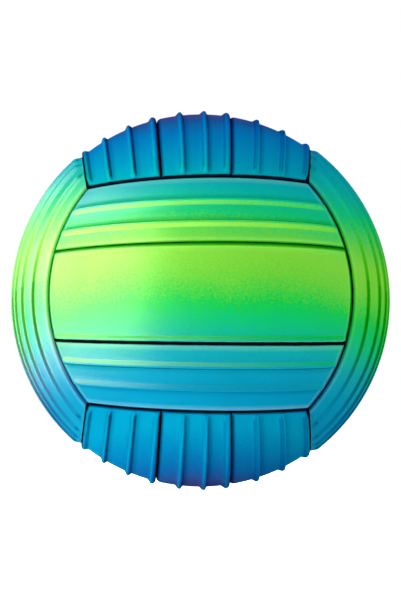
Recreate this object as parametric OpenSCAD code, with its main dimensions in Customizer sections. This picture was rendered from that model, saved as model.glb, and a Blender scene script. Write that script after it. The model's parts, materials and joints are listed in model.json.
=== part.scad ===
// Ribbed beach ball in the volleyball layout: six faces of three moulded strips each,
// bonded over a fabric lining and a rubber bladder, with a needle valve in the back face.
// The ball's centre is the origin, +Z is up and the plain front strip faces -Y.
// Every line of a face, seam or rib, is a circle in a plane, and the planes of one face
// fan out from a common line behind the ball, so the lines bow apart towards the middle.

/* [Ball] */
// Diameter over the strips' faces, ribs left out
ball_d = 212; // [190:1:230]
// Elevation of a face's long edge at the middle of that edge, in degrees
edge_elevation = 38; // [36.5:0.5:41]
// Width of the middle strip on a face that is ribbed all over
ribbed_middle_w = 42; // [34:1:50]
// Width of the plain middle strip on the front and back faces
plain_middle_w = 56; // [46:1:66]

/* [Strips] */
// Thickness of a strip between its ribs
strip_t = 2.8; // [2:0.1:4]
// Width of the open seam between two strips
seam_gap = 1.4; // [0.8:0.1:2.4]
// Ribs on each ribbed strip, its edge bead left out
ribs_per_strip = 2; // [1:1:2]
// Place of the first rib across its strip, as a share of the strip's width
rib_lead = 0.28; // [0.2:0.01:0.36]
// Distance between two ribs across their strip, as a share of its width
rib_pitch = 0.31; // [0.26:0.01:0.36]
// Height of the ribs and edge beads above the strip's face
rib_h = 2; // [1:0.1:2.6]
// Width of a rib where it leaves the strip's face
rib_w = 3.8; // [3:0.1:5]
// Width of the bead along a long edge, before the seam cuts it
bead_w = 3.4; // [3:0.1:4.2]
// Distance from a long edge to the crest of its bead
bead_inset = 1.4; // [0.9:0.1:1.4]
// Depth of the bevel along each edge that has no bead, below the strip's face
bevel_d = 1.4; // [0.6:0.1:1.7]
// Width of that bevel
bevel_w = 2.2; // [1.2:0.1:2.8]

/* [Lining and bladder] */
// Thickness of the lining under the strips
lining_t = 0.9; // [0.6:0.1:1.6]
// Thickness of the bladder
bladder_t = 0.8; // [0.6:0.1:1.6]
// Thickness of the bond line between one layer and the next
bond_gap = 0.3; // [0.2:0.05:0.5]

/* [Valve] */
// Outer diameter of the valve seat's neck
neck_d = 13; // [12:0.5:16]
// Depth of the neck's rim below the strip's face
neck_recess = 0.6; // [0.3:0.1:1.2]
// Length of the valve seat from its rim to its inner end
seat_l = 17; // [14:0.5:24]
// Diameter of the flange that bonds the seat to the bladder
flange_d = 34; // [26:1:44]
// Thickness of the flange
flange_t = 1.4; // [1:0.1:2.4]
// Diameter of the valve insert's stem
stem_d = 7.6; // [6.5:0.1:8.5]
// Diameter of the insert's head
head_d = 10; // [9.5:0.1:10.6]
// Thickness of the insert's head
head_t = 2; // [1.2:0.1:3]
// Depth of the head's face below the neck's rim
head_recess = 0.4; // [0.2:0.1:1]
// Length of the sealing lips past the seat's inner end
lips_l = 5; // [3:0.5:8]
// Width of the lips at their tip
lips_tip_d = 3.4; // [3:0.1:4.5]
// Diameter of the inflating needle
needle_d = 2; // [1.8:0.1:2.4]
// Play between the needle and its bore, all round
needle_clearance = 0.1; // [0.05:0.05:0.2]
// Depth of the needle's bore below its lead-in
needle_bore_l = 12; // [10:0.5:12.5]
// Depth of the conical lead-in at the bore's mouth
lead_in = 0.9; // [0.5:0.1:1]
// Play between the insert and its seat, all round
insert_clearance = 0.1; // [0.05:0.05:0.2]

/* [Hidden] */
$fn = 128;

// Radii of the layers, from the strips' faces inwards
ball_r = ball_d / 2;
strip_inner_r = ball_r - strip_t;
lining_r = strip_inner_r - bond_gap;
lining_inner_r = lining_r - lining_t;
bladder_r = lining_inner_r - bond_gap;
bladder_inner_r = bladder_r - bladder_t;
flange_r = bladder_inner_r - bond_gap;

// The fan: on a ball of radius 1, the line at share s of a face lies where
// across = s * (edge_base + edge_slope * out). Shares -1 and 1 are the long edges, which
// meet the next faces' edges on the cube's diagonals.
corner = 1 / sqrt(3);
edge_slope = (sin(edge_elevation) - corner) / (cos(edge_elevation) - corner);
edge_base = corner * (1 - edge_slope);
function line_tilt(s) = atan(s * edge_slope);
function line_height(s) = ball_r * s * edge_base * cos(line_tilt(s));
function line_angle(s) = acos(line_height(s) / ball_r);
function bead_angle(s) =
    acos((line_height(s) - seam_gap / 2) / ball_r) + arc_deg(bead_inset);
function share_at(half_w) =
    let (across = half_w / ball_r)
    across / (edge_base + edge_slope * sqrt(1 - across * across));
function arc_deg(length) = length / ball_r * 180 / PI;
// Angle that the bevel's slope covers between its shoulder and the cutting radius
function slope_deg(shoulder_r) = arc_deg((cut_outer_r - shoulder_r) * bevel_w / bevel_d);
function polar(angle, r) = [r * sin(angle), r * cos(angle)];
// Shares of a strip's ribs, counted from one long edge towards the other
function rib_shares(from, to) =
    [for (k = [0:ribs_per_strip - 1]) from + (to - from) * (rib_lead + k * rib_pitch)];
// Radius of a round ridge from its width and height
function ridge_r(w, h) = (w * w / 4 + h * h) / (2 * h);

// Blank and cutting sizes, clear of every strip
strip_sweep = 128;
blank_half_w = 0.8 * ball_r;
cut_margin = 2;
cut_outer_r = ball_r + rib_h + cut_margin;
cut_far_r = 1.5 * ball_r;

// Valve heights along its axis, from the ball's centre
rim_y = ball_r - neck_recess;
seat_end_y = rim_y - seat_l;
head_top_y = rim_y - head_recess;
head_seat_y = head_top_y - head_t;
lips_end_y = seat_end_y - lips_l;
bore_r = needle_d / 2 + needle_clearance;
stem_r = stem_d / 2;
socket_r = stem_r + insert_clearance;
head_r = head_d / 2;
neck_r = neck_d / 2;
neck_hole_r = neck_r + bond_gap;

// Faces: name, turn about the cube's diagonal, turned over or not, width of the middle
// strip, ribs on the middle strip or not, names of the strips, and their colours
SIDE_TURN = 120;
BACK_TURN = 240;
SIDE_COLOURS = ["yellowgreen", "yellowgreen", "yellowgreen"];
CAP_COLOURS = ["dodgerblue", "dodgerblue", "dodgerblue"];
FRONT_COLOURS = ["turquoise", "greenyellow", "turquoise"];
LEVELS = ["lower", "middle", "upper"];
DEPTHS = ["front", "middle", "back"];
SIDES = ["left", "middle", "right"];
FACES = [
    ["top", 0, false, ribbed_middle_w, true, SIDES, CAP_COLOURS],
    ["bottom", 0, true, ribbed_middle_w, true, SIDES, CAP_COLOURS],
    ["right", SIDE_TURN, false, ribbed_middle_w, true, DEPTHS, SIDE_COLOURS],
    ["left", SIDE_TURN, true, ribbed_middle_w, true, DEPTHS, SIDE_COLOURS],
    ["back", BACK_TURN, false, plain_middle_w, false, LEVELS, FRONT_COLOURS],
    ["front", BACK_TURN, true, plain_middle_w, false, LEVELS, FRONT_COLOURS],
];
function strip_name(face, i) = str(face[0], "_", face[5][i], "_strip");
VALVE_STRIP = "back_middle_strip";

// Carries a strip or the valve from the top face to another face
module on_face(turn, over) {
    rotate(a = turn, v = [1, 1, 1]) rotate([over ? 180 : 0, 0, 0]) children();
}

// Carries the valve and the layers that it passes through to the back face
module at_valve() {
    on_face(BACK_TURN, false) children();
}

// Turns a flat outline about the axis of the line at share s, over the face's own length
module along_line(s) {
    rotate([0, 90 + line_tilt(s), 0])
        rotate_extrude(angle = strip_sweep, start = 180 - strip_sweep / 2)
            children();
}

// Spherical blank that the strips of the top face are cut from
module strip_blank() {
    along_line(0) intersection() {
        difference() {
            circle(r = ball_r);
            circle(r = strip_inner_r);
        }
        translate([0, -blank_half_w]) square([cut_outer_r, 2 * blank_half_w]);
    }
}

// Round ridge about the axis of the line at share s, at an angle from that axis
module ridge(s, angle, w) {
    r = ridge_r(w, rib_h);
    along_line(s)
        translate(polar(angle, ball_r + rib_h - r))
            circle(r = r);
}

// Everything on the near side of the long edge at share s: a flat wall, bevelled at the top
// unless the edge has a bead
module before_long_edge(s, bead) {
    wall = line_height(s) - seam_gap / 2;
    shoulder_r = bead ? cut_outer_r : ball_r - bevel_d;
    shoulder_angle = acos(wall / shoulder_r);
    outer = polar(shoulder_angle + slope_deg(shoulder_r), cut_outer_r);
    rotate([0, 90 + line_tilt(s), 0])
        rotate_extrude()
            polygon([
                [0, wall],
                polar(shoulder_angle, shoulder_r),
                if (!bead) outer,
                [cut_far_r, outer[1]],
                [cut_far_r, -cut_far_r],
                [0, -cut_far_r]
            ]);
}

// Everything on the near side of the short end: a flat wall, bevelled at the top
module before_end() {
    wall = line_height(1) + seam_gap / 2;
    shoulder_r = ball_r - bevel_d;
    shoulder_angle = acos(wall / shoulder_r);
    outer = polar(shoulder_angle - slope_deg(shoulder_r), cut_outer_r);
    rotate([line_tilt(1), 0, 0])
        rotate_extrude()
            polygon([
                [0, wall],
                polar(shoulder_angle, shoulder_r),
                outer,
                [outer[0], cut_far_r],
                [0, cut_far_r]
            ]);
}

// Strip of the top face between two shares, with its ribs and the beads on its long edges
module strip(low, high, ribs, low_bead, high_bead) {
    intersection() {
        union() {
            strip_blank();
            if (high_bead)
                ridge(high, bead_angle(high), bead_w);
            if (low_bead)
                rotate([0, 0, 180]) ridge(-low, bead_angle(-low), bead_w);
            for (share = ribs)
                ridge(share, line_angle(share), rib_w);
        }
        before_long_edge(high, high_bead);
        rotate([0, 0, 180]) before_long_edge(-low, low_bead);
        before_end();
        rotate([0, 0, 180]) before_end();
    }
}

// One cover strip in its place, with the hole for the valve's neck where it has one.
// The plain middle strip has a bead on both long edges, and the ribs beside it are counted
// from it. Each strip of a face that is ribbed all over has a bead on its high edge.
module cover_strip(face, i) {
    inner_share = share_at(face[3] / 2);
    shares = [-1, -inner_share, inner_share, 1];
    low = shares[i];
    high = shares[i + 1];
    ribbed_face = face[4];
    plain = !ribbed_face && i == 1;
    rising = ribbed_face || i == 2;
    ribs = plain ? [] : rising ? rib_shares(low, high) : rib_shares(high, low);
    color(face[6][i])
        on_face(face[1], face[2])
            difference() {
                strip(low, high, ribs, plain, plain || ribbed_face);
                if (strip_name(face, i) == VALVE_STRIP)
                    cylinder(r = neck_hole_r, h = cut_far_r);
            }
}

// Hollow ball with a hole for the valve's neck, its axis along the valve
module layer(outer_r, inner_r) {
    rotate_extrude() difference() {
        circle(r = outer_r);
        circle(r = inner_r);
        translate([-cut_far_r, -cut_far_r]) square([cut_far_r, 2 * cut_far_r]);
        square([neck_hole_r, cut_far_r]);
    }
}

// Fabric and rubber lining that the strips are bonded to, dark in the open seams
module lining() {
    color("black") at_valve() layer(lining_r, lining_inner_r);
}

// Rubber bladder that holds the air
module bladder() {
    color("dimgray") at_valve() layer(bladder_r, bladder_inner_r);
}

// Flanged rubber seat: its neck comes out through the layers, its socket holds the insert
module valve_seat() {
    color("darkslategray")
        at_valve()
            rotate_extrude()
                difference() {
                    union() {
                        intersection() {
                            difference() {
                                circle(r = flange_r);
                                circle(r = flange_r - flange_t);
                            }
                            square([flange_d / 2, cut_far_r]);
                        }
                        translate([0, seat_end_y]) square([neck_r, seat_l]);
                    }
                    square([socket_r, cut_far_r]);
                    translate([0, head_seat_y - insert_clearance])
                        square([head_r + insert_clearance, cut_far_r]);
                }
}

// Rubber insert: head, stem and tapered lips, with the needle's bore down its middle
module valve_insert() {
    color("black")
        at_valve()
            rotate_extrude()
                polygon([
                    [bore_r + lead_in, head_top_y],
                    [head_r, head_top_y],
                    [head_r, head_seat_y],
                    [stem_r, head_seat_y],
                    [stem_r, seat_end_y],
                    [lips_tip_d / 2, lips_end_y],
                    [0, lips_end_y],
                    [0, head_top_y - lead_in - needle_bore_l],
                    [bore_r, head_top_y - lead_in - needle_bore_l],
                    [bore_r, head_top_y - lead_in]
                ]);
}

for (face = FACES)
    for (i = [0:2])
        cover_strip(face, i);
lining();
bladder();
valve_seat();
valve_insert();
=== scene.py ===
import json
import math
from dataclasses import dataclass, replace

import bmesh
import bpy
import numpy as np
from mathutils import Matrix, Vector


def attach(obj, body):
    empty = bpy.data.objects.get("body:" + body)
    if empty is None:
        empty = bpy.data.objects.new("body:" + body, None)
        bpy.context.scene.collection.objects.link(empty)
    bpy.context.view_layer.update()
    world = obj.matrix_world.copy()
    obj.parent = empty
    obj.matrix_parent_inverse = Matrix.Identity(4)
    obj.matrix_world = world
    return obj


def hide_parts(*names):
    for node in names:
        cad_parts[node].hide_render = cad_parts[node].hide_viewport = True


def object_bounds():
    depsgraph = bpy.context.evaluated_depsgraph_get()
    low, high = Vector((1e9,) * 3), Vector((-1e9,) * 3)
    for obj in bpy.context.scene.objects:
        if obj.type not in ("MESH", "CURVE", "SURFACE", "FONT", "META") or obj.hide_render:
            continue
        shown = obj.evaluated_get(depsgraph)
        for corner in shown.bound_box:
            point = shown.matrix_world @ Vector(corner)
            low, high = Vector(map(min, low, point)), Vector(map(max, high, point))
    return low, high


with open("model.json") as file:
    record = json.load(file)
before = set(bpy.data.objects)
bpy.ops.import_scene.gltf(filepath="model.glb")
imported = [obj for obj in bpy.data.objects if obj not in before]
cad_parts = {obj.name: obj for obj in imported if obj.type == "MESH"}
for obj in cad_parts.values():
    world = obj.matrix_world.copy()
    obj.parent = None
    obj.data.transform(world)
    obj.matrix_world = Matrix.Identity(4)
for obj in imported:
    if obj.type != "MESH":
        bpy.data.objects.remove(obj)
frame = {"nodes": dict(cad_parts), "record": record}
cad_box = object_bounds()

# Bladder
# The butyl rubber ball that holds the air, moulded in one piece and cured, then dusted with
# talc. It lies hidden under the lining, so its CAD shell stays and takes a rubber finish.


def add_node(tree, kind, inputs=None, **settings):
    """Adds a node, sets its properties, and sets or links its inputs by name or number."""
    node = tree.nodes.new(kind)
    for name, value in settings.items():
        setattr(node, name, value)
    for name, value in (inputs or {}).items():
        if isinstance(value, bpy.types.NodeSocket):
            tree.links.new(value, node.inputs[name])
        else:
            node.inputs[name].default_value = value
    return node


def start_group(name, inputs, outputs):
    """Starts a shader node group with named sockets, and returns it with its two end nodes."""
    group = bpy.data.node_groups.new(name, "ShaderNodeTree")
    for label, kind, value in inputs:
        socket = group.interface.new_socket(label, in_out="INPUT", socket_type=kind)
        socket.default_value = value
    for label, kind in outputs:
        group.interface.new_socket(label, in_out="OUTPUT", socket_type=kind)
    return group, group.nodes.new("NodeGroupInput"), group.nodes.new("NodeGroupOutput")


def start_material(name):
    """Starts a material, and returns it with its tree and its Principled shader."""
    material = bpy.data.materials.new(name)
    material.use_nodes = True
    tree = material.node_tree
    return material, tree, tree.nodes["Principled BSDF"]


def rubber_bloom_group():
    """Cured rubber: a mottled colour with a pale bloom, a dull gloss and a fine grain."""
    group, given, made = start_group(
        "rubber_bloom",
        [
            ("Rubber", "NodeSocketColor", (0.02, 0.02, 0.02, 1)),
            ("Bloom", "NodeSocketColor", (0.1, 0.1, 0.1, 1)),
            ("Bloom Amount", "NodeSocketFloat", 0.3),
        ],
        [
            ("Colour", "NodeSocketColor"),
            ("Roughness", "NodeSocketFloat"),
            ("Grain", "NodeSocketFloat"),
        ],
    )
    place = add_node(group, "ShaderNodeTexCoord").outputs["Object"]
    patches = add_node(
        group,
        "ShaderNodeTexNoise",
        {"Vector": place, "Scale": 160, "Detail": 5, "Roughness": 0.6},
    )
    grain = add_node(
        group, "ShaderNodeTexNoise", {"Vector": place, "Scale": 2600, "Detail": 3}
    )
    bloom = add_node(
        group,
        "ShaderNodeMath",
        {0: patches.outputs["Fac"], 1: given.outputs["Bloom Amount"]},
        operation="MULTIPLY",
    )
    colour = add_node(
        group,
        "ShaderNodeMix",
        {0: bloom.outputs[0], 6: given.outputs["Rubber"], 7: given.outputs["Bloom"]},
        data_type="RGBA",
    )
    roughness = add_node(
        group,
        "ShaderNodeMapRange",
        {"Value": patches.outputs["Fac"], "To Min": 0.45, "To Max": 0.8},
    )
    group.links.new(colour.outputs[2], made.inputs["Colour"])
    group.links.new(roughness.outputs[0], made.inputs["Roughness"])
    group.links.new(grain.outputs["Fac"], made.inputs["Grain"])
    return group


rubber_bloom = rubber_bloom_group()


def rubber_material(name, rubber, bloom, bloom_amount):
    """Matt moulded rubber in a given colour."""
    material, tree, shader = start_material(name)
    surface = add_node(tree, "ShaderNodeGroup", node_tree=rubber_bloom)
    surface.inputs["Rubber"].default_value = rubber
    surface.inputs["Bloom"].default_value = bloom
    surface.inputs["Bloom Amount"].default_value = bloom_amount
    bump = add_node(
        tree,
        "ShaderNodeBump",
        {"Height": surface.outputs["Grain"], "Strength": 0.25, "Distance": 0.0002},
    )
    tree.links.new(surface.outputs["Colour"], shader.inputs["Base Color"])
    tree.links.new(surface.outputs["Roughness"], shader.inputs["Roughness"])
    tree.links.new(bump.outputs["Normal"], shader.inputs["Normal"])
    shader.inputs["Specular IOR Level"].default_value = 0.4
    return material


bladder = frame["nodes"]["bladder"]
bladder.data.materials.clear()
bladder.data.materials.append(
    rubber_material("bladder_butyl", (0.03, 0.03, 0.03, 1), (0.25, 0.24, 0.22, 1), 0.7)
)

# Valve seat
# The flanged rubber socket that is vulcanised to the inside of the bladder. Its neck comes
# out through the lining and the back strip, and its stepped bore holds the valve insert.

seat_neck_r = 0.0065
seat_socket_r = 0.0039
seat_pocket_r = 0.0051
seat_rim_y = 0.1054
seat_pocket_y = 0.1029
seat_end_y = 0.0884
flange_r = 0.017
flange_under_y = {"neck": 0.09899, "rim": 0.09774}
flange_over_y = {"neck": 0.10035, "rim": 0.09914}


def rounded_outline(corners, steps=5):
    """Points of an outline whose corners, given as radius, height and fillet, are rounded."""
    points = []
    count = len(corners)
    for i, (r, y, fillet) in enumerate(corners):
        here = Vector((r, y))
        if fillet == 0:
            points.append(here)
            continue
        before = (Vector(corners[i - 1][:2]) - here).normalized()
        after = (Vector(corners[(i + 1) % count][:2]) - here).normalized()
        half = before.angle(after) / 2
        reach = fillet / math.tan(half)
        centre = here + (before + after).normalized() * fillet / math.sin(half)
        start = here + before * reach - centre
        end = here + after * reach - centre
        for step in range(steps + 1):
            turned = start.slerp(end, step / steps)
            points.append(centre + turned * (fillet / turned.length))
    return points


def turned_mesh(name, outline, closed, segments=72):
    """Turns an outline of radius and height about the valve's axis into a closed mesh."""
    mesh = bmesh.new()
    rings = []
    for point in outline:
        if point[0] < 1e-7:
            rings.append([mesh.verts.new((0, point[1], 0))])
            continue
        ring = []
        for k in range(segments):
            turn = 2 * math.pi * k / segments
            ring.append(
                mesh.verts.new((point[0] * math.cos(turn), point[1], point[0] * math.sin(turn)))
            )
        rings.append(ring)
    last = len(rings) if closed else len(rings) - 1
    for i in range(last):
        one = rings[i]
        two = rings[(i + 1) % len(rings)]
        if len(one) == 1 and len(two) == 1:
            continue
        for k in range(segments):
            corners = [one[k % len(one)], one[(k + 1) % len(one)]]
            corners += [two[(k + 1) % len(two)], two[k % len(two)]]
            mesh.faces.new(list(dict.fromkeys(corners)))
    bmesh.ops.recalc_face_normals(mesh, faces=mesh.faces)
    data = bpy.data.meshes.new(name)
    mesh.to_mesh(data)
    mesh.free()
    data.shade_smooth()
    data.set_sharp_from_angle(angle=math.radians(40))
    piece = bpy.data.objects.new(name, data)
    bpy.context.scene.collection.objects.link(piece)
    return piece


valve_seat = turned_mesh(
    "valve_seat_rubber",
    rounded_outline(
        [
            (seat_socket_r, seat_end_y, 0.0004),
            (seat_neck_r, seat_end_y, 0.0006),
            (seat_neck_r, flange_under_y["neck"], 0.0008),
            (flange_r, flange_under_y["rim"], 0.0004),
            (flange_r, flange_over_y["rim"], 0.0004),
            (seat_neck_r, flange_over_y["neck"], 0.0006),
            (seat_neck_r, seat_rim_y, 0.0005),
            (seat_pocket_r, seat_rim_y, 0.0003),
            (seat_pocket_r, seat_pocket_y, 0.0003),
            (seat_socket_r, seat_pocket_y, 0.0003),
        ]
    ),
    closed=True,
)
valve_seat.data.materials.append(
    rubber_material("seat_rubber", (0.012, 0.013, 0.014, 1), (0.09, 0.09, 0.09, 1), 0.35)
)
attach(valve_seat, "ball")
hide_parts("valve_seat")

# Lining
# Layers of woven cloth soaked in black rubber and wound over the bladder, which keep the
# ball round. Only a thin dark line of it shows, at the bottom of the seams.

lining_outer_r = 0.1029
lining_inner_r = 0.102
neck_hole_r = 0.0068


def lining_outline(steps=96):
    """Outline of the hollow ball, from the neck's hole round to the far pole and back."""
    points = []
    for r, order in ((lining_outer_r, range(steps + 1)), (lining_inner_r, range(steps, -1, -1))):
        start = math.asin(neck_hole_r / r)
        for k in order:
            angle = start + (math.pi - start) * k / steps
            radius = 0.0 if k == steps else r * math.sin(angle)
            points.append((radius, r * math.cos(angle)))
    return points


def lining_material():
    """Black rubberised cloth: a plain weave that shows through a worn coat."""
    material, tree, shader = start_material("rubberised_cloth")
    place = add_node(tree, "ShaderNodeTexCoord").outputs["Object"]
    warp = add_node(
        tree, "ShaderNodeTexWave", {"Vector": place, "Scale": 420}, bands_direction="X"
    )
    weft = add_node(
        tree, "ShaderNodeTexWave", {"Vector": place, "Scale": 420}, bands_direction="Z"
    )
    weave = add_node(
        tree,
        "ShaderNodeMath",
        {0: warp.outputs["Fac"], 1: weft.outputs["Fac"]},
        operation="MULTIPLY",
    )
    colour = add_node(
        tree,
        "ShaderNodeMix",
        {0: weave.outputs[0], 6: (0.002, 0.003, 0.006, 1), 7: (0.012, 0.015, 0.022, 1)},
        data_type="RGBA",
    )
    roughness = add_node(
        tree,
        "ShaderNodeMapRange",
        {"Value": weave.outputs[0], "To Min": 0.9, "To Max": 0.65},
    )
    bump = add_node(
        tree,
        "ShaderNodeBump",
        {"Height": weave.outputs[0], "Strength": 0.6, "Distance": 0.0002},
    )
    tree.links.new(colour.outputs[2], shader.inputs["Base Color"])
    tree.links.new(roughness.outputs[0], shader.inputs["Roughness"])
    tree.links.new(bump.outputs["Normal"], shader.inputs["Normal"])
    shader.inputs["Specular IOR Level"].default_value = 0.2
    return material


lining = turned_mesh("lining_cloth", lining_outline(), closed=True, segments=128)
lining.data.materials.append(lining_material())
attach(lining, "ball")
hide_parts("lining")

# Cover strips
# Eighteen moulded strips of soft plastic foam in the volleyball layout, three to a face, with
# ribs and beads. They are bonded to the lining a little off centre, sprayed with pearl paint,
# lime round the middle and blue towards the poles, and inked along the seams.

# Lengths are in metres, and off_centre is in radii of the ball.
ball_r = 0.10597
strip_inner_r = 0.1032
off_centre = np.array([-0.045, 0.0, 0.0])
stretch = np.array([1.0, 1.02, 1.0])
edge_elevation = math.radians(37.5)
ribbed_middle_w = 0.042
plain_middle_w = 0.055
seam_gap = 0.0011
tight_gap = 0.0001
wide_roll = 0.0028
small_roll = 0.0014

# The ribs' lead and pitch are shares of their strip. Each side of a rib is flat up to rib_flat
# of its width, and comes down to the strip at rib_foot of it.
rib_lead = 0.33
rib_pitch = 0.325
rib_h = 0.0019
rib_gentle_w = 0.0026
rib_steep_w = 0.0015
rib_flat = 0.15
rib_foot = 1.2
rib_fade = 0.005
front_rib_fade = 0.007

# The painted shade beside a rib, as a share of that in a seam, how far it stays full at a
# strip's ends, and the widths over which the coats change.
rib_shade = 0.3
shade_hold = 0.4
rib_shade_w = 0.0012
rib_crest_w = 0.0009
spray_shy_w = 0.007
edge_highlight_w = 0.0008
ink_edge = 0.0006

# The mesh's widest step, its lines over each curve, and the fine patch round the valve's hole.
grid_step = 0.0032
round_lines = 7
bead_lines = 9
gentle_lines = 10
steep_lines = 9
fade_lines = 8
hole_patch = 0.011
hole_lines = 29

corner = 1 / math.sqrt(3)
edge_slope = (math.sin(edge_elevation) - corner) / (math.cos(edge_elevation) - corner)
edge_base = corner * (1 - edge_slope)


@dataclass
class Edge:
    """An edge of a strip: half of its seam, the width that is rolled down and takes painted
    shade, the width of its ink, the height and the round side of its bead, how much shade is
    painted on it, and its depth as a share of the rolled width."""

    gap: float
    roll: float
    ink: float = 0.0
    bead_h: float = 0.0
    bead_r: float = 0.0
    pool: float = 1.0
    depth: float = 0.45


@dataclass
class StripForm:
    """How a strip lies on its face: the lines of its low and high edges, its edges and its
    ribs, which are counted from the low edge, or from the high one."""

    low: float
    high: float
    low_edge: Edge
    high_edge: Edge
    end: Edge
    rib_side: int
    rib_lead: float
    rib_fade: float

    def ribs(self):
        """Lines of the strip's ribs."""
        start, across = self.low, self.high - self.low
        if self.rib_side < 0:
            start, across = self.high, -across
        shares = [self.rib_lead, self.rib_lead + rib_pitch] if self.rib_side else []
        return [start + across * share for share in shares]


def line_plane(share):
    """Tilt and height of the plane that a face's line lies in, on a ball of radius 1."""
    tilt = np.arctan(share * edge_slope)
    return tilt, share * edge_base * np.cos(tilt)


def line_place(share):
    """Distance of a line from the middle of its face, measured over the ball."""
    tilt, height = line_plane(share)
    return ball_r * (np.arcsin(height) + tilt)


def share_at(place):
    """Share of the line at a distance from the middle of its face."""
    shares = np.linspace(-1.1, 1.1, 2001)
    return np.interp(place, line_place(shares), shares)


def distance_past(points, share):
    """Distance of points from a face's line, over the ball, positive on its high side."""
    tilt, height = line_plane(share)
    off = points[..., 0] * np.cos(tilt) - points[..., 2] * np.sin(tilt)
    return ball_r * (np.arcsin(off) - np.arcsin(height))


def distance_from_ends(points):
    """Distance of points from the nearer short end of a face, over the ball."""
    tilt, height = line_plane(1.0)
    off = points[..., 2] * np.cos(tilt) - np.abs(points[..., 1]) * np.sin(tilt)
    return ball_r * (np.arcsin(off) - np.arcsin(height))


def smooth_step(value):
    """Eases from 0 to 1."""
    t = np.clip(value, 0, 1)
    return t * t * (3 - 2 * t)


def ridge_shape(distance):
    """Height of a moulded ridge: 1 on its crest, 0 at its feet, gentle on its low side."""
    spread = np.where(distance < 0, -distance / rib_gentle_w, distance / rib_steep_w)
    return 1 - smooth_step((spread - rib_flat) / (rib_foot - rib_flat))


def bead_lift(distance, edge):
    """Height of an edge bead, which turns down round into the seam."""
    out = np.clip(1 - distance / edge.bead_r, 0, 1)
    round_side = np.sqrt(1 - out**2)
    inner_side = ridge_shape(edge.bead_r - distance)
    return edge.bead_h * np.where(distance < edge.bead_r, round_side, inner_side)


def roll_drop(distance, edge):
    """Depth of an edge that is rolled down in a curve."""
    return edge.roll * edge.depth * np.clip(1 - distance / edge.roll, 0, 1) ** 2


def filled(marks, step):
    """Sorted marks, with even ones between those further apart than a step."""
    marks = np.unique(np.round(marks, 7))
    places = [marks[:1]]
    for low, high in zip(marks[:-1], marks[1:]):
        count = max(1, math.ceil((high - low) / step))
        places.append(np.linspace(low, high, count + 1)[1:])
    return np.concatenate(places)


def edge_marks(edge):
    """Distances from an edge at which the strip's mesh needs a line."""
    turn = 1 - np.cos(np.linspace(0, math.pi / 2, round_lines))
    if not edge.bead_h:
        return edge.roll * turn
    inner = rib_gentle_w * np.linspace(0, rib_foot, bead_lines)
    return np.concatenate([edge.bead_r * turn, edge.bead_r + inner])


def strip_grid(form, close_across, close_along):
    """Unit directions over a strip of the top face, as a grid across and along it, with closer
    lines where they are asked for."""
    low_place = line_place(form.low) + form.low_edge.gap
    high_place = line_place(form.high) - form.high_edge.gap
    gentle = -rib_gentle_w * np.linspace(0, rib_foot, gentle_lines)
    steep = rib_steep_w * np.linspace(0, rib_foot, steep_lines)
    marks = [low_place + edge_marks(form.low_edge), close_across]
    marks += [high_place - edge_marks(form.high_edge)]
    for rib in form.ribs():
        marks.append(line_place(rib) + form.rib_side * np.concatenate([gentle, steep]))
    shares = share_at(filled(np.concatenate(marks), grid_step))
    tilt, height = line_plane(shares)
    circle = np.sqrt(1 - height**2)
    along = circle * np.cos(tilt)
    rise = circle * edge_slope
    gap = form.end.gap / ball_r * math.sqrt(1 + edge_slope**2)
    limit = edge_base + gap + height * np.sin(tilt)
    end_turn = np.arccos(limit / np.hypot(along, rise)) - np.arctan2(rise, along)
    half_length = float(np.mean(end_turn * circle)) * ball_r
    fading = form.rib_fade * np.linspace(0.2, 1.4, fade_lines)
    ends = half_length - np.concatenate([edge_marks(form.end), fading])
    lengths = filled(np.concatenate([-ends, ends, close_along]), grid_step) / half_length
    turn = end_turn[:, None] * lengths[None, :]
    x = (height * np.cos(tilt))[:, None] + (circle * np.sin(tilt))[:, None] * np.cos(turn)
    y = circle[:, None] * np.sin(turn)
    z = (-height * np.sin(tilt))[:, None] + (circle * np.cos(tilt))[:, None] * np.cos(turn)
    return np.stack([x, y, z], axis=-1), (shares[0], shares[-1])


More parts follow.
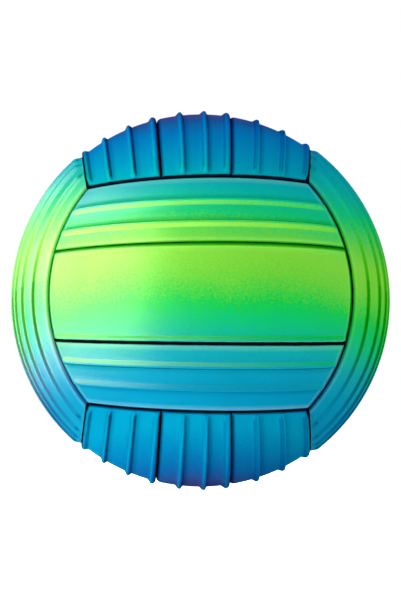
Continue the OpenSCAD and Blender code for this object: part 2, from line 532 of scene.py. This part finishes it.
def strip_relief(form, points, edges):
    """Height of a strip's face over the ball, and the shares of ink, of painted shade, of a
    painted highlight along the edges, of crests and of reach for the spray, at points between the
    lines of its cut edges."""
    ends = distance_from_ends(points) - form.end.gap
    sides = (distance_past(points, edges[0]), -distance_past(points, edges[1]))
    fade = smooth_step(ends / form.rib_fade)
    lift = np.zeros(ends.shape)
    pool = np.zeros(ends.shape)
    crest = np.zeros(ends.shape)
    for rib in form.ribs():
        off = form.rib_side * distance_past(points, rib)
        lift = np.maximum(lift, rib_h * ridge_shape(off))
        # Painted shade along the foot of each rib's steep side
        foot = 1 - smooth_step(np.abs(off - rib_shade_w) / rib_shade_w)
        pool = np.maximum(pool, rib_shade * foot * fade)
        crest = np.maximum(crest, 1 - smooth_step(np.abs(off + rib_crest_w) / rib_crest_w))
    drop = roll_drop(ends, form.end)
    # Painted shade in the rolled ends, full near the seam
    clear = smooth_step((1 + shade_hold) * ends / form.end.roll - shade_hold)
    pool = np.maximum(pool, form.end.pool * (1 - clear))
    bare = smooth_step((ends - form.end.ink) / ink_edge)
    # A painted highlight along the shoulder of each rolled end
    lightened = 1 - smooth_step(np.abs(ends - form.end.roll) / edge_highlight_w)
    for side, edge in zip(sides, (form.low_edge, form.high_edge)):
        # Painted shade and the painted highlight along the two long sides as well
        rolled = smooth_step(side / edge.roll)
        pool = np.maximum(pool, edge.pool * (1 - rolled))
        clear = np.minimum(clear, rolled)
        bare = np.minimum(bare, smooth_step((side - edge.ink) / ink_edge))
        lightened = np.maximum(lightened, 1 - smooth_step(np.abs(side - edge.roll) / edge_highlight_w))
        if edge.bead_h:
            lift = np.maximum(lift, bead_lift(side, edge))
            off = np.abs(side - edge.bead_r - rib_crest_w)
            crest = np.maximum(crest, 1 - smooth_step(off / rib_crest_w))
        else:
            drop = np.hypot(drop, roll_drop(side, edge))
    relief = lift * fade - drop
    coats = {
        "seam_ink": 1 - bare,
        "crease_shade": pool,
        "edge_highlight": lightened * clear,
        "rib_crest": crest * fade,
        "spray_reach": np.minimum(clear, smooth_step(ends / spray_shy_w)),
    }
    return relief, coats


def shell_faces(rows, columns):
    """Faces of a shell whose outer and inner grids have rows and columns of points."""
    count = rows * columns
    index = np.arange(count).reshape(rows, columns)
    a, b = index[:-1, :-1].ravel(), index[1:, :-1].ravel()
    c, d = index[1:, 1:].ravel(), index[:-1, 1:].ravel()
    outside = np.stack([a, b, c, d], axis=1)
    inside = outside[:, ::-1] + count
    rim = np.concatenate([index[:-1, 0], index[-1, :-1], index[:0:-1, -1], index[0, :0:-1]])
    after = np.roll(rim, -1)
    wall = np.stack([after, rim, rim + count, after + count], axis=1)
    return np.concatenate([outside, inside, wall])


def spray_coat_group():
    """Pearl paint sprayed in bands: the colour follows the height on the ball. A painted highlight
    lies along edges and, on the left, on crests; lime dust with a painted sheen, most on the left,
    lies on sides that face the middle. Painted shade darkens the other sides, the rib feet, the
    seams and, away from the left, the crests, and ink is brushed along the seams."""
    group, given, made = start_group(
        "spray_coat",
        [
            ("Facing", "NodeSocketFloat", 0.0),
            ("Facing Dust And Sheen", "NodeSocketFloat", 0.0),
            ("Edge Highlight", "NodeSocketFloat", 0.0),
            ("Crest Light And Shade", "NodeSocketFloat", 0.0),
            ("Steep Lime", "NodeSocketFloat", 0.05),
            ("Left Sheen Shift", "NodeSocketFloat", 0.0),
            ("Upper Lime", "NodeSocketFloat", 0.0),
            ("Lower Lime", "NodeSocketFloat", 0.0),
            ("Shade Strength", "NodeSocketFloat", 2.0),
            ("Droplets", "NodeSocketFloat", 0.1),
            ("Gloss", "NodeSocketFloat", 0.1),
        ],
        [
            ("Colour", "NodeSocketColor"),
            ("Roughness", "NodeSocketFloat"),
            ("Sheen", "NodeSocketFloat"),
            ("Texture", "NodeSocketFloat"),
        ],
    )

    def math_node(operation, *values):
        inputs = dict(enumerate(values))
        return add_node(group, "ShaderNodeMath", inputs, operation=operation).outputs[0]

    def dot_node(one, two):
        inputs = {0: one, 1: two}
        dot = add_node(group, "ShaderNodeVectorMath", inputs, operation="DOT_PRODUCT")
        return dot.outputs["Value"]

    def ease_node(value, low, high):
        inputs = {"Value": value, "From Min": low, "From Max": high}
        ease = add_node(group, "ShaderNodeMapRange", inputs, interpolation_type="SMOOTHSTEP")
        return ease.outputs[0]

    def noise_node(**inputs):
        inputs = {"Vector": place, **inputs}
        return add_node(group, "ShaderNodeTexNoise", inputs).outputs["Fac"]

    def marked(name):
        return add_node(group, "ShaderNodeAttribute", attribute_name=name).outputs["Fac"]

    def product(first, *others):
        for other in others:
            first = math_node("MULTIPLY", first, other)
        return first

    def rest_of(value):
        return math_node("SUBTRACT", 1.0, value)

    dust_and_highlight_colour = (0.32, 0.34, 0.18, 1)
    ink_colour = (0.002, 0.006, 0.014, 1)
    crest_shade_depth = 4.0
    drift_height = 0.1
    brush_wander = 0.9

    # Heights at which each effect starts and is full, on the lower and the upper half
    lime_low, lime_high = (-0.74, -0.46), (0.62, 0.5)
    dust_sheen_low = (-0.66, -0.46)
    mica_low, mica_high = (-0.64, -0.38), (0.72, 0.4)

    spray_tilt = math.radians(9)
    spray_axis = (0, math.sin(spray_tilt), math.cos(spray_tilt))
    place = add_node(group, "ShaderNodeTexCoord").outputs["Object"]
    facing = add_node(group, "ShaderNodeNewGeometry").outputs["Normal"]
    outward = add_node(group, "ShaderNodeVectorMath", {0: place}, operation="NORMALIZE").outputs[0]
    sideways = dot_node(outward, (1, 0, 0))
    # A painted light from the left: full on the left of the ball, gone towards the right
    painted_left_light = ease_node(sideways, 0.45, -0.05)

    # The colour's height, moved to the middle on sides that face the middle and, as a painted
    # highlight, on crests on the left; on the side faces it is also moved down on the left, as a
    # painted sheen
    place_height = dot_node(outward, spray_axis)
    half = math_node("SIGN", place_height)
    tilt = math_node("SUBTRACT", place_height, dot_node(facing, spray_axis))
    inward = product(tilt, half)
    reached = product(
        ease_node(inward, 0.25, 0.65),
        marked("spray_reach"),
        ease_node(place_height, *lime_low),
        ease_node(place_height, *lime_high),
    )
    painted_crest_light = product(marked("rib_crest"), given.outputs["Crest Light And Shade"])
    lime_shift_and_crest_light = product(reached, given.outputs["Facing"])
    lime_shift_and_crest_light = math_node("MULTIPLY_ADD", painted_crest_light, painted_left_light, lime_shift_and_crest_light)
    height = math_node("SUBTRACT", place_height, product(lime_shift_and_crest_light, half))
    # A painted sheen on the left moves the colour's height down
    height = math_node("SUBTRACT", height, product(given.outputs["Left Sheen Shift"], painted_left_light))
    above = product(math_node("MAXIMUM", height, 0.0), given.outputs["Upper Lime"])
    below = product(math_node("MINIMUM", height, 0.0), given.outputs["Lower Lime"])
    height = math_node("SUBTRACT", math_node("SUBTRACT", height, above), below)

    # Other steep sides take a colour a little nearer the middle, and droplets blur the bands
    steep = ease_node(rest_of(dot_node(facing, outward)), 0.06, 0.5)
    steep = product(steep, ease_node(inward, 0.33, 0.0))
    low_height = rest_of(product(height, height))
    pull = product(steep, low_height, given.outputs["Steep Lime"])
    height = product(height, rest_of(pull))
    droplets = noise_node(Scale=900, Detail=3, Roughness=0.7)
    drift = noise_node(Scale=18, Detail=2)
    spread = product(math_node("SUBTRACT", droplets, 0.5), given.outputs["Droplets"])
    spread = math_node("MULTIPLY_ADD", math_node("SUBTRACT", drift, 0.5), drift_height, spread)
    height = math_node("ADD", height, spread)

    # Colours of the bands, by height from the bottom to the top of the ball. The bands near the
    # bottom, up to -0.77, hold a painted light from below on top of the paint's colour, so -0.77
    # is lighter than -0.66
    bands = [
        (-1.0, (0.035, 0.06, 0.22)),
        (-0.96, (0.004, 0.105, 0.30)),
        (-0.88, (0.0005, 0.17, 0.35)),
        (-0.77, (0.0005, 0.25, 0.40)),
        (-0.66, (0.0005, 0.225, 0.38)),
        (-0.55, (0.0005, 0.25, 0.38)),
        (-0.45, (0.0005, 0.31, 0.35)),
        (-0.33, (0.0005, 0.43, 0.185)),
        (-0.20, (0.002, 0.51, 0.055)),
        (-0.06, (0.13, 0.57, 0.036)),
        (0.06, (0.19, 0.61, 0.04)),
        (0.15, (0.11, 0.59, 0.056)),
        (0.26, (0.005, 0.55, 0.145)),
        (0.41, (0.0005, 0.40, 0.38)),
        (0.56, (0.0005, 0.29, 0.47)),
        (0.76, (0.0005, 0.18, 0.48)),
        (0.87, (0.010, 0.088, 0.33)),
        (0.94, (0.06, 0.06, 0.27)),
        (1.0, (0.08, 0.05, 0.25)),
    ]
    paint = add_node(group, "ShaderNodeValToRGB", {0: math_node("MULTIPLY_ADD", height, 0.5, 0.5)})
    ramp = paint.color_ramp
    while len(ramp.elements) < len(bands):
        ramp.elements.new(0.5)
    for element, (band, colour) in zip(ramp.elements, bands):
        element.position = band / 2 + 0.5
        element.color = (*colour, 1)

    # Painted shade deepens the colour on steep sides, beside ribs, in the seams and, away from the
    # left, on crests; then come the dust with its painted sheen, the painted edge highlight and
    # the ink
    painted_crest_shade = product(painted_crest_light, rest_of(painted_left_light), crest_shade_depth)
    pool = math_node("MAXIMUM", math_node("MAXIMUM", steep, painted_crest_shade), marked("crease_shade"))
    pool = product(pool, math_node("MULTIPLY_ADD", low_height, 0.8, 0.2))
    depth = math_node("MULTIPLY_ADD", pool, given.outputs["Shade Strength"], 1.0)
    shaded = add_node(group, "ShaderNodeGamma", {0: paint.outputs["Color"], 1: depth}).outputs[0]
    # Lime dust on sides that face the middle, with a painted sheen that fades from the left to the
    # right
    lightened = product(
        reached,
        ease_node(place_height, *dust_sheen_low),
        ease_node(sideways, 0.7, -0.8),
        given.outputs["Facing Dust And Sheen"],
    )
    # Add the painted highlight along the edges
    lightened = math_node("MULTIPLY_ADD", marked("edge_highlight"), given.outputs["Edge Highlight"], lightened)
    dusted_and_lit = add_node(
        group,
        "ShaderNodeMix",
        {0: lightened, 6: shaded, 7: dust_and_highlight_colour},
        data_type="RGBA",
        blend_type="ADD",
    ).outputs[2]
    brush = math_node("SUBTRACT", noise_node(Scale=170), 0.5)
    ink = math_node("MULTIPLY_ADD", brush, brush_wander, marked("seam_ink"))
    ink = ease_node(ink, 0.35, 0.65)
    inked = add_node(
        group, "ShaderNodeMix", {0: ink, 6: dusted_and_lit, 7: ink_colour}, data_type="RGBA"
    )

    # Gloss is duller on droplets, and the mica's sheen is lost in ink and where shade is painted
    roughness = add_node(
        group, "ShaderNodeMapRange", {"Value": droplets, "To Min": 0.36, "To Max": 0.52}
    )
    mica = product(ease_node(place_height, *mica_low), ease_node(place_height, *mica_high))
    mica = math_node("MULTIPLY_ADD", mica, 0.8, 0.2)
    unshaded = rest_of(pool)
    sheen = product(mica, rest_of(ink), unshaded, unshaded, given.outputs["Gloss"])
    group.links.new(inked.outputs[2], made.inputs["Colour"])
    group.links.new(sheen, made.inputs["Sheen"])
    group.links.new(roughness.outputs[0], made.inputs["Roughness"])
    group.links.new(droplets, made.inputs["Texture"])
    return group


spray_coat = spray_coat_group()


def pearl_material(name, settings):
    """Satin pearl paint on a strip, with its own settings of the spray."""
    material, tree, shader = start_material(name)
    coat = add_node(tree, "ShaderNodeGroup", node_tree=spray_coat)
    for label, value in settings.items():
        coat.inputs[label].default_value = value
    bump = add_node(
        tree,
        "ShaderNodeBump",
        {"Height": coat.outputs["Texture"], "Strength": 0.12, "Distance": 0.0003},
    )
    tree.links.new(coat.outputs["Colour"], shader.inputs["Base Color"])
    tree.links.new(coat.outputs["Roughness"], shader.inputs["Roughness"])
    tree.links.new(coat.outputs["Sheen"], shader.inputs["Coat Weight"])
    tree.links.new(bump.outputs["Normal"], shader.inputs["Normal"])
    shader.inputs["Metallic"].default_value = 0.005
    shader.inputs["Specular IOR Level"].default_value = 0
    shader.inputs["Coat Roughness"].default_value = 0.36
    return material


pearl_paints = {
    "pearl_lime": pearl_material(
        "pearl_lime_spray",
        {
            "Gloss": 0.14,
            "Droplets": 0.35,
            "Facing": 0.12,
            "Facing Dust And Sheen": 0.22,
            "Edge Highlight": 0.15,
            "Shade Strength": 3.0,
        },
    ),
    "pearl_teal": pearl_material(
        "pearl_teal_spray",
        {
            "Gloss": 0.12,
            "Droplets": 0.25,
            "Facing": 0.12,
            "Facing Dust And Sheen": 0.42,
            "Edge Highlight": 0.2,
            "Shade Strength": 1.2,
        },
    ),
    "pearl_blue": pearl_material(
        "pearl_blue_spray", {"Gloss": 0.0, "Droplets": 0.15, "Crest Light And Shade": 0.15, "Shade Strength": 1.5}
    ),
}
side_paint = pearl_material(
    "pearl_side_spray",
    {
        "Gloss": 0.22,
        "Droplets": 0.35,
        "Edge Highlight": 0.1,
        "Left Sheen Shift": 0.09,
        "Upper Lime": 0.18,
        "Lower Lime": 0.08,
        "Shade Strength": 2.8,
    },
)
strip_slots = {part["node"]: part["material_slot"] for part in frame["record"]["subparts"]}

upright = (0, 1, 2)
turned_right = (2, 0, 1)
turned_back = (1, 2, 0)

# Each face: its name, the order of its axes, its side of the ball, and its strips from low to high
faces = [
    ("top", upright, 1, ("left", "middle", "right")),
    ("bottom", upright, -1, ("left", "middle", "right")),
    ("right", turned_right, 1, ("front", "middle", "back")),
    ("left", turned_right, -1, ("front", "middle", "back")),
    ("back", turned_back, 1, ("lower", "middle", "upper")),
    ("front", turned_back, -1, ("lower", "middle", "upper")),
]

# The kinds of edges. Where the front face and a side face meet, both have a meeting edge.
ribbed_gap = 0.00025
ribbed_roll = 0.0024
ribbed_bead = {"bead_h": rib_h, "bead_r": 0.0018}
polar_seam = Edge(seam_gap / 2, small_roll, ink=0.0003)
polar_side = Edge(gap=0.0003, roll=wide_roll, ink=0.0012, **ribbed_bead)
polar_end = Edge(gap=0.0005, roll=small_roll)
ribbed_low = Edge(ribbed_gap, ribbed_roll)
ribbed_high = Edge(ribbed_gap, small_roll, **ribbed_bead)
side_low = replace(ribbed_low, ink=0.0012)
side_end = Edge(gap=0.0002, roll=0.0003)
meeting_edge = Edge(tight_gap / 2, roll=0.003, pool=0.6, depth=0.28)
outer_edges = {
    "top": polar_side,
    "bottom": polar_side,
    "right": replace(meeting_edge, ink=0.0006),
    "left": meeting_edge,
}
short_ends = {
    # Only the top strips' ends are inked: a seam line that also stands as painted shade under
    # these ends, which face down
    "top": replace(polar_end, ink=0.0005),
    "bottom": polar_end,
    "right": side_end,
    "left": side_end,
    "back": meeting_edge,
    "front": meeting_edge,
}
front_edges = {
    "lower": (polar_seam, Edge(seam_gap / 2, small_roll, ink=0.0004)),
    "middle": (
        Edge(seam_gap / 2, roll=0.0006, ink=0.0004, bead_h=rib_h, bead_r=0.0008),
        Edge(tight_gap / 2, wide_roll, bead_h=0.0007, bead_r=0.0022),
    ),
    "upper": (Edge(tight_gap / 2, small_roll), polar_seam),
}
front_ribs = {"lower": (-1, rib_lead), "middle": (0, 0.0), "upper": (1, 0.285)}


def strip_forms(face, places):
    """Forms of a face's three strips, from its low edge to its high one."""
    plain = face in ("front", "back")
    polar = face in ("top", "bottom")
    half = (plain_middle_w if plain else ribbed_middle_w) / 2 / ball_r
    share = half / (edge_base + edge_slope * math.sqrt(1 - half**2))
    lines = (-1.0, -share, share, 1.0)
    forms = []
    for place, low, high in zip(places, lines, lines[1:]):
        if plain:
            edges = front_edges[place]
            ribs = (*front_ribs[place], front_rib_fade)
        else:
            outer = outer_edges[face]
            inner = ribbed_low if polar else side_low
            edges = (outer if low == -1 else inner, outer if high == 1 and polar else ribbed_high)
            ribs = (1, rib_lead, rib_fade)
        forms.append(StripForm(low, high, *edges, short_ends[face], *ribs))
    return forms


def cover_strip(node, form, order, over, valve_hole):
    """Makes one strip as a closed shell in its place on the ball."""
    near = np.linspace(-hole_patch, hole_patch, hole_lines if valve_hole else 0)
    points, edges = strip_grid(form, near, near - off_centre[0] * ball_r)
    relief, coats = strip_relief(form, points, edges)
    ways = (points * (1, over, over))[..., order] * stretch + off_centre
    ways /= np.linalg.norm(ways, axis=-1, keepdims=True)
    if valve_hole:
        off = ball_r * np.hypot(ways[..., 0], ways[..., 2]) - neck_hole_r
        relief -= roll_drop(off, Edge(gap=0.0, roll=small_roll))
    outer = ways * (ball_r + relief)[..., None]
    both = np.concatenate([outer.reshape(-1, 3), ways.reshape(-1, 3) * strip_inner_r])
    data = bpy.data.meshes.new(node)
    data.from_pydata(both.tolist(), [], shell_faces(*points.shape[:2]).tolist())
    for name, coat in coats.items():
        layer = data.attributes.new(name, "FLOAT", "POINT")
        layer.data.foreach_set("value", np.tile(coat.ravel(), 2))
    data.shade_smooth()
    data.set_sharp_from_angle(angle=math.radians(60))
    piece = bpy.data.objects.new(node + "_pearl", data)
    bpy.context.scene.collection.objects.link(piece)
    return piece


def cut_valve_hole(strip):
    """Cuts the hole for the valve's neck through a strip on the back face."""
    low_y = 0.09
    high_y = 0.115
    outline = [(0, low_y), (neck_hole_r, low_y), (neck_hole_r, high_y), (0, high_y)]
    cutter = turned_mesh("neck_cutter", outline, closed=False, segments=96)
    hole = strip.modifiers.new("neck_hole", "BOOLEAN")
    hole.operation = "DIFFERENCE"
    hole.solver = "EXACT"
    hole.object = cutter
    cut = bpy.data.meshes.new_from_object(
        strip.evaluated_get(bpy.context.evaluated_depsgraph_get())
    )
    strip.modifiers.clear()
    strip.data = cut
    bpy.data.objects.remove(cutter)


for face, order, over, places in faces:
    for place, form in zip(places, strip_forms(face, places)):
        node = f"{face}_{place}_strip"
        has_valve = node == "back_middle_strip"
        strip = cover_strip(node, form, order, over, has_valve)
        if has_valve:
            cut_valve_hole(strip)
        strip.data.materials.clear()
        on_side = face in ("left", "right")
        strip.data.materials.append(side_paint if on_side else pearl_paints[strip_slots[node]])
        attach(strip, "ball")
        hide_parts(node)

# Valve insert
# The soft rubber plug that seals the ball: a flat head with the needle's hole, a grooved stem
# that is greased into the seat, and two lips that close behind the needle.

insert_head_r = 0.005
insert_stem_r = 0.0038
insert_bore_r = 0.0011
insert_top_y = 0.105
insert_head_y = 0.103
lips_start_y = 0.0884
lips_end_y = 0.0834
bore_end_y = 0.0921
lips_tip_r = 0.0017
groove_places = (0.0932, 0.0982)
groove_depth = 0.0003
groove_w = 0.001
groove_fillet = 0.0001
dish_r = 0.0036
dish_floor_r = 0.0034
dish_floor_y = insert_top_y - 0.0003
funnel_r = 0.0021
funnel_depth = 0.001

grooves = []
for groove_y in groove_places:
    floor_y = groove_y + groove_depth
    grooves += [
        (insert_stem_r, groove_y, groove_fillet),
        (insert_stem_r - groove_depth, floor_y, groove_fillet),
        (insert_stem_r - groove_depth, floor_y + groove_w, groove_fillet),
        (insert_stem_r, floor_y + groove_w + groove_depth, groove_fillet),
    ]
insert_outline = rounded_outline(
    [
        (0, lips_end_y, 0),
        (lips_tip_r, lips_end_y, 0.0006),
        (insert_stem_r, lips_start_y, 0.0008),
        *grooves,
        (insert_stem_r, insert_head_y, 0.0003),
        (insert_head_r, insert_head_y, 0.0003),
        (insert_head_r, insert_top_y, 0.0005),
        (dish_r, insert_top_y, 0.0002),
        (dish_floor_r, dish_floor_y, 0.0002),
        (funnel_r, dish_floor_y, 0.0003),
        (insert_bore_r, dish_floor_y - funnel_depth, 0.0004),
        (insert_bore_r, bore_end_y, 0.0002),
        (0, bore_end_y, 0),
    ]
)
valve_insert = turned_mesh("valve_insert_rubber", insert_outline, closed=False)
valve_insert.data.materials.append(
    rubber_material("insert_rubber", (0.02, 0.021, 0.023, 1), (0.12, 0.12, 0.12, 1), 0.3)
)
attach(valve_insert, "valve_insert")
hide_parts("valve_insert")

# Studio
# A wide white floor that the ball stands on, a white room with soft lamps round the ball, two
# screens to the left that only show as sheen on the paint, and a camera with a long lens,
# which looks at the ball from just below its middle.

floor_r = 12
floor_light = 0.25
room_light = 0.15
floor_mesh = bmesh.new()
bmesh.ops.create_circle(floor_mesh, cap_ends=True, segments=128, radius=floor_r)
floor_data = bpy.data.meshes.new("studio_floor")
floor_mesh.to_mesh(floor_data)
floor_mesh.free()
floor = bpy.data.objects.new("studio_floor", floor_data)
floor.location.z = cad_box[0].z
bpy.context.scene.collection.objects.link(floor)
floor_paint, floor_tree, floor_shader = start_material("white_floor")
floor_shader.inputs["Base Color"].default_value = (0.95, 0.95, 0.95, 1)
floor_shader.inputs["Roughness"].default_value = 0.7
floor_shader.inputs["Emission Color"].default_value = (1, 1, 1, 1)
floor_path = add_node(floor_tree, "ShaderNodeLightPath")
floor_glow = add_node(
    floor_tree,
    "ShaderNodeMapRange",
    {"Value": floor_path.outputs["Is Camera Ray"], "To Min": floor_light, "To Max": 1.0},
)
floor_tree.links.new(floor_glow.outputs[0], floor_shader.inputs["Emission Strength"])
floor_data.materials.append(floor_paint)
floor.visible_glossy = False
floor.visible_shadow = False

world = bpy.data.worlds.new("white_room")
world.use_nodes = True
room = world.node_tree
sky = room.nodes["Background"]
room_path = add_node(room, "ShaderNodeLightPath")
seen = add_node(
    room,
    "ShaderNodeMapRange",
    {"Value": room_path.outputs["Is Camera Ray"], "To Min": room_light, "To Max": 1.0},
)
sky.inputs["Color"].default_value = (1, 1, 1, 1)
room.links.new(seen.outputs[0], sky.inputs["Strength"])
bpy.context.scene.world = world
world.cycles_visibility.glossy = False


def soft_lamp(name, place, width, height, power, colour=(1, 1, 1), mirrored=False):
    """Hangs a soft lamp that points at the ball's middle, and lights it or is mirrored in it."""
    lamp = bpy.data.lights.new(name, "AREA")
    lamp.shape = "RECTANGLE"
    lamp.size = width
    lamp.size_y = height
    lamp.energy = power
    lamp.color = colour
    holder = bpy.data.objects.new(name, lamp)
    holder.location = place
    holder.visible_diffuse = not mirrored
    holder.visible_glossy = mirrored
    holder.rotation_euler = (-Vector(place)).to_track_quat("-Z", "Y").to_euler()
    bpy.context.scene.collection.objects.link(holder)


soft_lamp("key_lamp", (-0.6, -1.25, 0.3), 1.2, 1.0, 9.5)
soft_lamp("fill_lamp", (0.3, -1.35, 0.3), 1.2, 1.0, 1.5)
soft_lamp("low_lamp", (-1.1, -0.6, -0.65), 1.0, 1.0, 16)
soft_lamp("right_lamp", (1.4, 0.05, 0.1), 1.0, 1.0, 11)
soft_lamp("top_lamp", (-0.6, 0.1, 1.3), 1.0, 0.8, 11.5)
soft_lamp("back_lamp", (0.3, 1.4, 0.4), 1.0, 1.0, 8)
soft_lamp("rim_screen", (-1.2, 1.0, 0.0), 1.2, 1.2, 85, (0.4, 0.65, 1), mirrored=True)
soft_lamp("left_screen", (-1.42, -0.45, 0.25), 2.4, 2.5, 750, (1, 0.7, 0.66), mirrored=True)

camera_azimuth = math.radians(-1.5)
camera_elevation = math.radians(-2.4)
camera_distance = 1.512
camera_lens = 158.7
camera_back = Vector(
    (
        math.sin(camera_azimuth) * math.cos(camera_elevation),
        -math.cos(camera_azimuth) * math.cos(camera_elevation),
        math.sin(camera_elevation),
    )
)
camera_data = bpy.data.cameras.new("photo_camera")
camera_data.sensor_width = 36
camera_data.lens = camera_lens
camera = bpy.data.objects.new("photo_camera", camera_data)
camera.location = camera_back * camera_distance
camera.rotation_euler = (-camera_back).to_track_quat("-Z", "Y").to_euler()
bpy.context.scene.collection.objects.link(camera)
bpy.context.scene.camera = camera
bpy.context.scene.view_settings.view_transform = "Standard"

bpy.context.view_layer.update()
